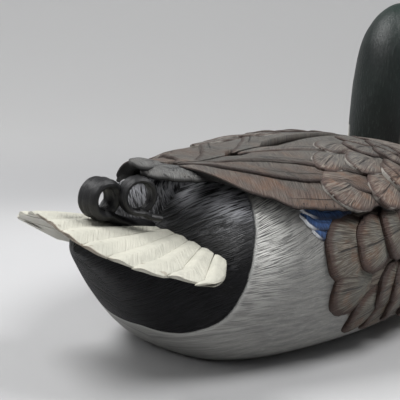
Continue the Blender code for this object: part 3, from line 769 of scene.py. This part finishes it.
# Lower edge of each blue feather, from under the side pocket back to its white tip.
SPECULUM = [
    [(70, 68), (83.5, 67), (88.3, 67.5), (92.6, 64.5), (95.9, 59.5), (96.5, 56)],
    [(62, 60), (76.3, 61.6), (83, 61.8), (91.6, 60), (97.3, 55.9), (100.7, 50.5), (101, 47)],
    [(56, 54), (66.8, 55), (75.9, 55.5), (85.9, 54.1), (93.5, 51.4), (97.8, 48.3), (99.6, 43.3),
     (99.8, 40)],
]


def speculum(name, side, material, carrier):
    """The blue patch of the wing: three feathers with white tips between tertials and pocket."""
    batch = Batch()
    for number, line in enumerate(SPECULUM):
        lapped_feather(batch, carrier, line, 11, 0.9 + 0.5 * number, 0.0, -0.6)
    return batch.finish(name, material, side)


# ---- folded wings
WING_FRONT, WING_REAR = -0.072, 0.1405
FAR_DROOP, BLADE_EDGE = 0.0055, 0.0013
wing_under = along([(-80, -1.2), (-60, -0.2), (10, 0.6), (50, 2.8), (100, 9), (120, 12.4), (140.5, 16.8)])
wing_thick = along([(-80, 1.2), (-60, 2), (-30, 3.6), (50, 4.4), (120, 4), (152, 2.2)])
wing_low = along([
    (-80, 70), (-50, 44), (0, 33), (50, 34.5), (75, 36.4), (94, 39.9), (110.7, 43.1), (116.4, 46.7),
    (121.2, 50.3), (129.8, 55.3), (135.5, 62.5), (137.2, 71.5), (138.5, 79), (140.5, 85),
], 1)
# Long feathers as (lower edge, how far they reach up under the next, lift, tone, slant of the barbs).
TERTIALS = [
    ([(137, 0.5), (125, 5.4), (117.9, 13.1), (108.8, 18.9), (100.7, 25.3), (86.4, 32.5), (70.1, 37), (50, 46),
      (34, 52)], 17, 1.7, -0.02, 1.0),
    ([(116, 2.0), (98, 7), (86, 12), (70.8, 19.5), (61.5, 24), (44, 32), (30, 38)], 14, 1.3, 0.018, 1.0),
    ([(80, 1.5), (62, 6.0), (38, 13.5), (20, 22), (5, 28)], 13, 0.7, 0.018, -1.0),
]
# Round feathers as (tip, root, half width, lift).
SCAPULARS = [
    ((78.0, 45.5), (30, 40), 18, 1.5), ((58.8, 29), (15.7, 20), 11, 1.5), ((41.3, 53), (0, 45), 14, 2.6),
    ((33.1, 35), (-10, 28), 13, 2.4), ((30, 17), (-8, 14), 11, 1.2), ((14, 47.5), (-22, 42), 14, 3.4),
]


def wing_surface(y, turn):
    return skin(y, turn, wing_under(y) + wing_thick(y))


def wing_shell(batch):
    """The wing's carved shell, with an undercut lower edge that ends in a thin blade."""
    y = linspace(WING_FRONT, WING_REAR, 250)[:, None]
    low, top = radians(90 - wing_low(y)), radians(3.5)
    turn = low + (top - low) * linspace(0, 1, 70) ** 1.25
    under = wing_under(y)
    total = under + wing_thick(y)
    outer = skin(y, turn, total)
    gap = arc_lengths(outer) / MM
    blade = total - np.minimum(BLADE_EDGE, total - under)
    inner = skin(y, turn, blade + (under - blade) * smooth(gap, 3, 12))
    outer += (inner - outer) * (0.55 * (1 - unit(gap / 1.2)) ** 2)[..., None]
    wave = (0.3 * sin(y * 330) + 0.16 * sin(y * 790 + 1)) * MM * np.exp(-gap / 3)
    outer[..., 2] += wave
    inner[..., 2] += wave
    run, from_ridge = y / MM, gap[:, -1:] - gap
    upper = feather_fields((gap - 7.5, run, gap), (0.4, smooth(run, -60, 150), 0.0),
                           (run * 1.2 - from_ridge * 1.1, from_ridge + run * 0.3, 3.0))
    lower = dict(upper, feather=upper["feather"] - [0, 0, 60])
    ring = both_faces(outer, inner)
    fields = {key: both_faces(upper[key], lower[key]) for key in upper}
    batch.add(ring, fields, ring - stack(0, y, 0.05), closed=True, cap=True)


def wing(name, side, material, carrier):
    """One folded wing: its shell, long tertials and round scapulars that lie flat towards the ridge."""
    batch = Batch()
    wing_shell(batch)
    for feather in TERTIALS:
        lapped_feather(batch, carrier, *feather)
    for feather in SCAPULARS:
        scale_feather(batch, carrier, *feather, tone=0.12)
    for row, station in enumerate(np.arange(4, -64, -16.0)):
        for degrees in np.arange(14 if row % 2 else 24, 90 - wing_low(station * MM) + 4, 19):
            tip = (station, degrees) + rng.uniform(-JITTER, JITTER, 2)
            root = (max(tip[0] - 32, -70), tip[1] - 3)
            half = min(13, (tip[0] - root[0]) * 0.6)
            flat = 0.3 + 0.7 * smooth(degrees, 12, 44)
            lift = flat * (2.6 * smooth(tip[0], -74, -30) + 0.7)
            scale_feather(batch, carrier, tip, root, half, lift, crown=0.8 * flat)
    if side > 0:
        for points in batch.points:
            x, y = points[:, 0], points[:, 1]
            points[:, 2] -= FAR_DROOP * smooth(y, 0.08, 0.112) * smooth(x, 0.03, 0.052)
    return batch.finish(name, material, side)


primary_lift = along([(90, 5.2), (120, 12), (140, 19), (160, 23), (175, 25.8)])
# Flight feathers as (shift to the side, how much shorter, how much lower, width against the first).
FLIGHT = [(0, 0, 0, 1.0), (0.0042, 0.0095, 0.0012, 0.9), (0.008, 0.02, 0.0022, 0.8)]
# Plan lines of the longest ones; the right wing's is shorter and drops under the left one.
LONG_LINE = [(0.02, 0.098), (0.014, 0.122), (0.008, 0.148), (0.002, 0.17)]
SHORT_LINE = [(0.016, 0.096), (0.013, 0.118), (0.008, 0.139), (0.000, 0.165)]
CROSSED_DROP = 0.0042


def primaries(name, side, line, drop, material):
    """Long flight feathers of one wing: three stacked blades that cross over the rump."""
    batch = Batch()
    across = np.concatenate([linspace(-1, 1, 15), linspace(1, -1, 15)])
    under = np.repeat([0, 1], 15)
    thick = where(under, -0.001, 0.0006 + 0.0007 * (1 - across**2))
    for number, (shift, shorter, lower, size) in enumerate(FLIGHT):
        path = smooth_line(line, 24)
        path = path[path[:, 1] < line[-1][1] - shorter]
        y, end = path[:, 1:], path[-1, 1]
        last = end / MM
        half = along([(90, 7), (120, 7), (last - 14, 6.4), (last - 3, 4.2), (last, 0.6)])(y) * size
        w = half * across
        x = path[:, :1] + shift * smooth(y, 0.12, 0.145) + w
        lift = primary_lift(y) - drop * smooth(y, 0.125, 0.165) - lower
        z = skin_top(x, y) + lift + thick + side * 0.3 * w * smooth(y, 0.128, 0.15)
        gap = np.minimum(half - np.abs(w), end - y) / MM
        out, run = np.abs(w) / MM, y / MM
        fields = feather_fields((w / MM, run, where(under, OUTSIDE, gap)),
                                (number * 0.3 + 0.1, smooth(y, 0.09, end), -0.05 * number),
                                (run * 1.4 - out, out + run * 0.3, number * 7.0))
        batch.add(stack(x, y, z), fields, stack(0, 0, where(under, -1, 1)), closed=True, cap=True)
    return batch.finish(name, material, side)


# ---- tail and curls
TAIL_HALF_MM = 65


def tail(material):
    """Separate feathers; each laps over its outer neighbour, and the middle one is on top."""
    batch = Batch()
    wide, top_one = 1 / TAIL_FEATHERS, TAIL_FEATHERS // 2
    v, across = quarter_turn(60)[:, None], half_turn(21)
    round_tip = 1 - 0.1 * unit((v - 0.88) / 0.12) ** 2
    thin = 0.0017 - 0.0008 * smooth(v, 0.6, 1.0) - 0.0006 * smooth(v, 0.93, 1.0)
    for number in range(TAIL_FEATHERS):
        middle = -1 + (2 * number + 1) * wide
        shorter = abs(rng.normal(0, 0.0011)) if number != top_one else 0
        ident = rng.random()
        reach = wide * (1.2 if 0 < number < TAIL_FEATHERS - 1 else 1.1)
        u = middle + reach * across * (0.75 + 0.25 * v) * round_tip
        u += 0.024 * wide * sin(v * 26 + ident * 30) * smooth(v, 0.4, 0.8) * round_tip
        u = np.clip(u, -1.0, 1.0)
        corner = unit((np.abs(u) - 0.8) / 0.2)
        ends = tail_tip(u) - shorter - 0.0016 * np.abs(across) ** 2.2 - 0.024 * (1 - np.sqrt(1 - corner**2))
        y = TAIL_ROOT_Y + (ends - TAIL_ROOT_Y) * v
        outer = np.sign(middle) * across if number != top_one else np.abs(across)
        height = 0.0016 * (1 - np.abs(across) ** 1.8) + 0.00016 * outer * smooth(v, 0.1, 0.5)
        height = (height + 0.00022 * sin(across * 5 + ident * 9)) * (0.35 + 0.65 * smooth(v, 0.08, 0.55))
        w, run = (u - middle) * TAIL_HALF_MM, y / MM
        gap = np.minimum(reach * TAIL_HALF_MM * np.maximum(round_tip, 0.05) - np.abs(w), (ends - y) / MM)
        one_face = feather_fields((w, run, gap), (ident, v, 0.02 * sin(number * 2.4)),
                                  (run * 1.2 - 1.5 * np.abs(w), np.abs(w) + run * 0.3, ident * 40))
        fields = {key: both_faces(value, value) for key, value in one_face.items()}
        top, bottom = tail_point(u, y, height + thin), tail_point(u, y, height * 0.4 - thin)
        facing = stack(0, 0, np.repeat([1, -1], across.size))
        batch.add(both_faces(top, bottom), fields, facing, closed=True, cap=True)
    return batch.finish("tail_feathers", material, sharp=50)


# Centre, yaw in degrees, radius, width, turns, tightening, thickness and the length of the root.
CURLS = {
    "front_curl": ((-0.003, 0.1695, 0.0933), -26, 0.0084, 0.01, 0.97, 0.04, 0.003, 0.013),
    "rear_curl": ((0.009, 0.1835, 0.0912), -8, 0.0082, 0.014, 0.98, 0.06, 0.005, 0.034),
}


def curl(name, material):
    """One curled tail feather: a ribbon, thick at its middle, that rolls up and forwards."""
    centre, yaw, radius, wide, turns, tighten, thick, long = CURLS[name]
    t = linspace(0, 1, 150)
    a = -pi / 2 + turns * 2 * pi * t
    r = radius * (1 - tighten * t)
    root = smooth_line([(-long, -radius - 0.25 * long), (-long / 2, -radius - 0.16 * long),
                        (-0.006, -radius - 0.0016), (-0.003, -radius - 0.0003), (0, -radius)], 10)
    path = np.vstack([root[:-1], stack(r * cos(a), r * sin(a))])
    heading = headings(path)
    share = linspace(0, 1, len(path))[:, None]
    around = circle(36)
    across = np.sign(cos(around)) * np.abs(cos(around)) ** 0.6
    out = sin(around) * thick / 2 * (1 + 0.16 * cos(across * 9))
    half = wide / 2 * (1 - 0.45 * smooth(share, 0.7, 1.0)) * (0.8 + 0.2 * smooth(share, 0, 0.2))
    w = half * (1 + 0.05 * sin(share * 70) * np.exp(-((1 - share) / 0.3))) * across
    ribbon = stack(w, path[:, :1] + heading[:, 1:] * out, path[:, 1:] - heading[:, :1] * out)
    c, s = cos(radians(yaw)), sin(radians(yaw))
    points = ribbon @ np.array([[c, -s, 0], [s, c, 0], [0, 0, 1]]).T + centre
    return tube(name + "_feather", material, points, points - points.mean(axis=1, keepdims=True),
                {"feather": stack(w / MM, share * 60, out / MM)}, sharp=60)


# ---- head
HEAD_BASE, BROW, HEAD_TOP = 0.096, 0.17, 0.208
nape_line = along([
    (95, -96), (107, -96), (125, -94), (150, -91), (172, -92), (187, -97.5), (197, -105), (203.5, -113.5),
    (207, -122), (HEAD_TOP / MM, -131),
])
face_line = along([
    (95, -152), (107, -150), (125, -149), (142, -160), (156, -171), (170, -171), (186, -163.5), (197, -155),
    (203.5, -147), (207, -139), (HEAD_TOP / MM, -132),
])
head_half = along([
    (95, 28), (107, 27), (125, 26.5), (150, 27.5), (168, 26.5), (184, 23.2), (196, 17.5), (203.5, 11.2),
    (207, 5.8), (HEAD_TOP / MM, 0.8),
])
EYE = np.array([0.016, -0.1475, 0.18])
CHEEK_Y, CHEEK_Z = -0.137, 0.16


def head(material):
    """Head and neck in one carving, with a shallow channel at each eye and a soft cheek."""
    crown = BROW + (HEAD_TOP - BROW) * quarter_turn(70)[1:]
    z = np.concatenate([linspace(HEAD_BASE, BROW, 110), crown])[:, None]
    a = circle(150)
    c, s = cos(a), sin(a)
    nape, face = nape_line(z), face_line(z)
    middle = nape + (face - nape) * 0.42
    x = head_half(z) * c * where(s > 0, 1, 1 - 0.12 * s * s)
    y = middle + where(s > 0, nape - middle, middle - face) * s
    socket = bell(y - EYE[1], 0.011) * bell(z - EYE[2], 0.0075)
    cheek = bell(y - CHEEK_Y, 0.016) * bell(z - CHEEK_Z, 0.011)
    stripe = bell(z - 0.176 - 0.35 * (y - EYE[1]), 0.0045)
    stripe = stripe * smooth(y, -0.166, -0.15) * smooth(y, -0.1, -0.125)
    depth = (0.0007 * cheek - 0.001 * socket - 0.0006 * stripe) * smooth(np.abs(x), 0.004, 0.012)
    points = stack(x + np.sign(x) * depth, y, z)
    return tube("head_carving", material, points, points - stack(0, (nape + face) / 2, z))


# Stations of the bill as (y, z, half width, height) in mm.
BILL = [
    (-160, 161, 9.8, 10.5), (-170, 160.5, 10.2, 10.8), (-180, 158, 9.8, 8.5), (-190, 155.5, 10.5, 6.4),
    (-200, 154, 11.8, 5), (-208, 153.2, 11.8, 4.2), (-213, 152.4, 9, 3.2), (-215, 151.8, 4, 1.8),
]


def bill(material):
    """The bill: high at its root, flat and broad at the tip, with a mouth line, nostrils and a nail."""
    y, z, half, high = (smooth_line(BILL, 16) * MM).T[..., None]
    s, c = sin(circle(96)), cos(circle(96))
    mouth = bell(s + 0.16, 0.07) * smooth(-y, 0.166, 0.172)
    nostril = bell(y + 0.1795, 0.0028) * bell(s - 0.62, 0.1)
    x = half * c * (1 - 0.05 * mouth) * (1 - 0.1 * nostril)
    nail = bell(x, 0.0032) * smooth(-y, 0.2075, 0.2095) * (s > 0)
    tall = z + high * s * where(s < 0, 0.75, 1) - 0.0009 * nostril + 0.0005 * nail
    points = stack(x, y, tall)
    return tube("bill_carving", material, points, points - points.mean(axis=1, keepdims=True), sharp=50)


EYE_RADIUS, EYE_DOME, EYE_BACK = 0.0052, 0.003, 0.0015


def eye(name, side, material):
    """A domed glass bead, its paint read from the distance to its own axis."""
    arc = linspace(0, pi / 2, 18)
    height = np.concatenate([[-EYE_BACK, 0], EYE_DOME + EYE_DOME * sin(arc)])[:, None]
    radius = np.concatenate([[0.004, EYE_RADIUS], EYE_RADIUS * cos(arc)])[:, None]
    radius = np.maximum(radius, 0.00002)
    turn = np.array(Vector((0, 0, 1)).rotation_difference(Vector((side, -0.18, 0.05))).to_matrix())
    around = circle(48)
    bead = stack(radius * cos(around), radius * sin(around), height)
    points = bead @ turn.T + EYE * [side, 1, 1]
    fields = {"feather": stack(radius / MM, 0, 0)}
    return tube(name, material, points, points - points.mean(axis=(0, 1)), fields)


# ---- line ring
def ring(material):
    """The round wire ring, with the butt joint of its ends."""
    low, high = np.array(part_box("line_ring"))
    wire = (high[1] - low[1]) / 2
    radius = (high[0] - low[0]) / 2 - wire
    a = np.append(circle(128), 0)[:, None]
    b = circle(24)
    thick = wire * (1 - 0.1 * bell(a - pi, 0.03))
    out = stack(sin(a), 0, cos(a))
    offset = out * (thick * cos(b))[..., None] + stack(0, thick * sin(b), 0)
    batch = Batch()
    batch.add((low + high) / 2 + out * radius + offset, {}, offset, closed=True)
    return batch.finish("line_ring_wire", material)


# ---- assembly
def fit(obj, body, slot, *nodes):
    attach(obj, body)
    if nodes:
        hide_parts(*nodes)


pocket_paint = feather_paint(
    "pocket_feather", "6e6d64", "5e5348", "42281e", 3.6, "928e82", "744e34", "626461", relief=1.3)
wing_paint = feather_paint(
    "wing_feather", "645a52", "604d44", "422e27", 1.8, "8c8378", "7c5840", "545755", light_share=0.62,
    fringe="9e9a93", fringe_width=0.38, groove=0.9, relief=1.25, dusty=0.8)
blue_paint = feather_paint(
    "speculum_feather", "304a7c", "3860a0", "1a243c", 1.8, "628ac4", "4276bc", "24304e",
    fringe="e8eaee", fringe_width=1.0, tipped=True, dark="101628", groove=0.5)
slate_paint = feather_paint(
    "primary_feather", "686867", "767674", "4a4948", 0.8, "949491", "6e6a64", "5c5e5f",
    dark="1a1a1b", groove=0.8)

fit(body_skin(coat_paint()), "decoy", "body_paint", "back_shell", "hull_shell")
skin_carrier = Carrier(body_surface, -0.168, 0.2, 150)
wing_carrier = Carrier(wing_surface, WING_FRONT, WING_REAR, 75)
for word, sign in (("left", 1), ("right", -1)):
    fit(side_pocket(word + "_pocket_feathers", sign, pocket_paint, skin_carrier), "decoy", "body_paint")
    fit(speculum(word + "_speculum", sign, blue_paint, skin_carrier), "decoy", "wing_paint")
    fit(wing(word + "_wing_feathers", sign, wing_paint, wing_carrier), "decoy", "wing_paint", word + "_wing")
    fit(eye(word + "_eye_bead", sign, eye_paint()), "decoy", "eye_glass", word + "_eye")
for word, sign, line, drop in (("left", 1, LONG_LINE, 0.0), ("right", -1, SHORT_LINE, CROSSED_DROP)):
    made = primaries(word + "_flight_feathers", sign, line, drop, slate_paint)
    fit(made, "decoy", "primary_paint", word + "_primaries")
fit(tail(tail_paint()), "decoy", "tail_paint", "tail_fan")
curl_black = black_paint()
for word in CURLS:
    fit(curl(word, curl_black), "decoy", "rump_paint", word)
fit(head(head_paint()), "decoy", "head_paint", "head")
fit(bill(bill_paint()), "decoy", "bill_paint", "bill")
brass = metal_paint("aged_brass", "c4a05c", "7e623a", 0.24, 1.0, 260)
lead = metal_paint("cast_lead", "84868a", "5c5e62", 0.42, 0.85, 60)
wood = wood_paint()
fit(ring(brass), "ring", "brass", "line_ring")
for name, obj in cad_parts.items():
    if obj.hide_render:
        continue
    made = lead if name == "ballast_weight" else wood if "dowel" in name else brass
    for place in obj.material_slots:
        place.material = made

# ---- stage, light and camera
AZIMUTH, ELEVATION, ROLL = radians(214.8), radians(10.2), radians(5.0)
EYE_POINT, LENS, SENSOR = Vector((-0.302, 0.545, 0.18)), 87.66, 36
LIGHT_CENTRE, LIGHT_DISTANCE, LIGHT_SIZE = Vector((0, 0.05, 0.06)), 1.5, 0.8
SKY, SKY_STRENGTH = (0.92, 0.95, 1.0, 1), 0.2
SHEET_CLOSE, SHEET_FAR, SHEET_RISE, SHEET_TOP, SHEET_DROP = 0.75, 2.3, 0.9, 3.0, 0.0003
back_way = Vector((sin(AZIMUTH) * cos(ELEVATION), -cos(AZIMUTH) * cos(ELEVATION), sin(ELEVATION)))
up_way = Vector(UP)
right_way = up_way.cross(back_way).normalized()
level_back = Vector((back_way.x, back_way.y, 0)).normalized()


def stage_paint():
    """Matt grey-white paper, with painted shade in a ring round the decoy and painted light higher up the
    sweep.
    """
    p = Paint("seamless_paper")
    x, y, z = p.place.split()
    out = p.math("SQRT", x * x + y * y)
    colour = p.mix(p.place.noise(2.2, 3).ramp(0.3, 0.7), "bbbbbc", "c0c0c0")
    # Darker 0.22 to 0.42 m from the decoy, back to the paper's tone further out: painted shade.
    colour.wash(out.ramp(0.22, 0.42), "a7a7a8")
    colour.wash(out.ramp(0.42, 0.9), "bebebe")
    # Paler higher up the sweep: painted light.
    colour.wash(z.ramp(0.05, 0.6), "c6c6c6")
    return p.done(colour, 0.85, p.bump(p.place.noise(700, 4, 0.7), 0.0001))


def sheet(material):
    """Seamless paper: level round the decoy, curving up close behind it and further off elsewhere."""
    turn = linspace(0, 2 * pi, 181)
    flat = np.minimum(SHEET_CLOSE / np.maximum(cos(turn), 1e-3), SHEET_FAR)
    bend = linspace(0, pi / 2, 20)
    share = np.concatenate([[0, 0.5], np.ones(21)])[:, None]
    more = SHEET_RISE * np.concatenate([[0, 0], sin(bend), [1]])[:, None]
    height = np.concatenate([[0, 0], SHEET_RISE - SHEET_RISE * cos(bend), [SHEET_TOP]])[:, None]
    outward = cos(turn)[:, None] * -np.array(level_back) + sin(turn)[:, None] * np.array(right_way)
    points = outward * (share * flat + more)[..., None]
    points[..., 2] += height - SHEET_DROP
    batch = Batch()
    batch.add(points, {}, UP)
    batch.finish("paper_sweep", material)


def softbox(name, way, power):
    data = bpy.data.lights.new(name, "AREA")
    data.shape, data.size, data.energy = "DISK", LIGHT_SIZE, power
    made = bpy.data.objects.new(name, data)
    made.location = LIGHT_CENTRE + way * LIGHT_DISTANCE
    made.rotation_euler = (LIGHT_CENTRE - made.location).to_track_quat("-Z", "Y").to_euler()
    bpy.context.scene.collection.objects.link(made)


sheet(stage_paint())
softbox("left", up_way * 0.85 - right_way * 0.53, 20.4)
softbox("right", up_way * 0.85 + right_way * 0.53, 16.4)
softbox("fill", up_way * 0.55 + (level_back - right_way) * 0.59, 4.4)
world = bpy.data.worlds.new("studio")
bpy.context.scene.world = world
world.use_nodes = True
sky = world.node_tree.nodes["Background"].inputs
sky[0].default_value, sky[1].default_value = SKY, SKY_STRENGTH

camera_data = bpy.data.cameras.new("view")
camera_data.lens, camera_data.sensor_width = LENS, SENSOR
camera_data.dof.use_dof = False
camera = bpy.data.objects.new("view", camera_data)
camera.location = EYE_POINT
camera.rotation_euler = ((-back_way).to_track_quat("-Z", "Y") @ Quaternion((0, 0, 1), ROLL)).to_euler()
bpy.context.scene.collection.objects.link(camera)
bpy.context.scene.camera = camera
bpy.context.scene.view_settings.view_transform = "Standard"
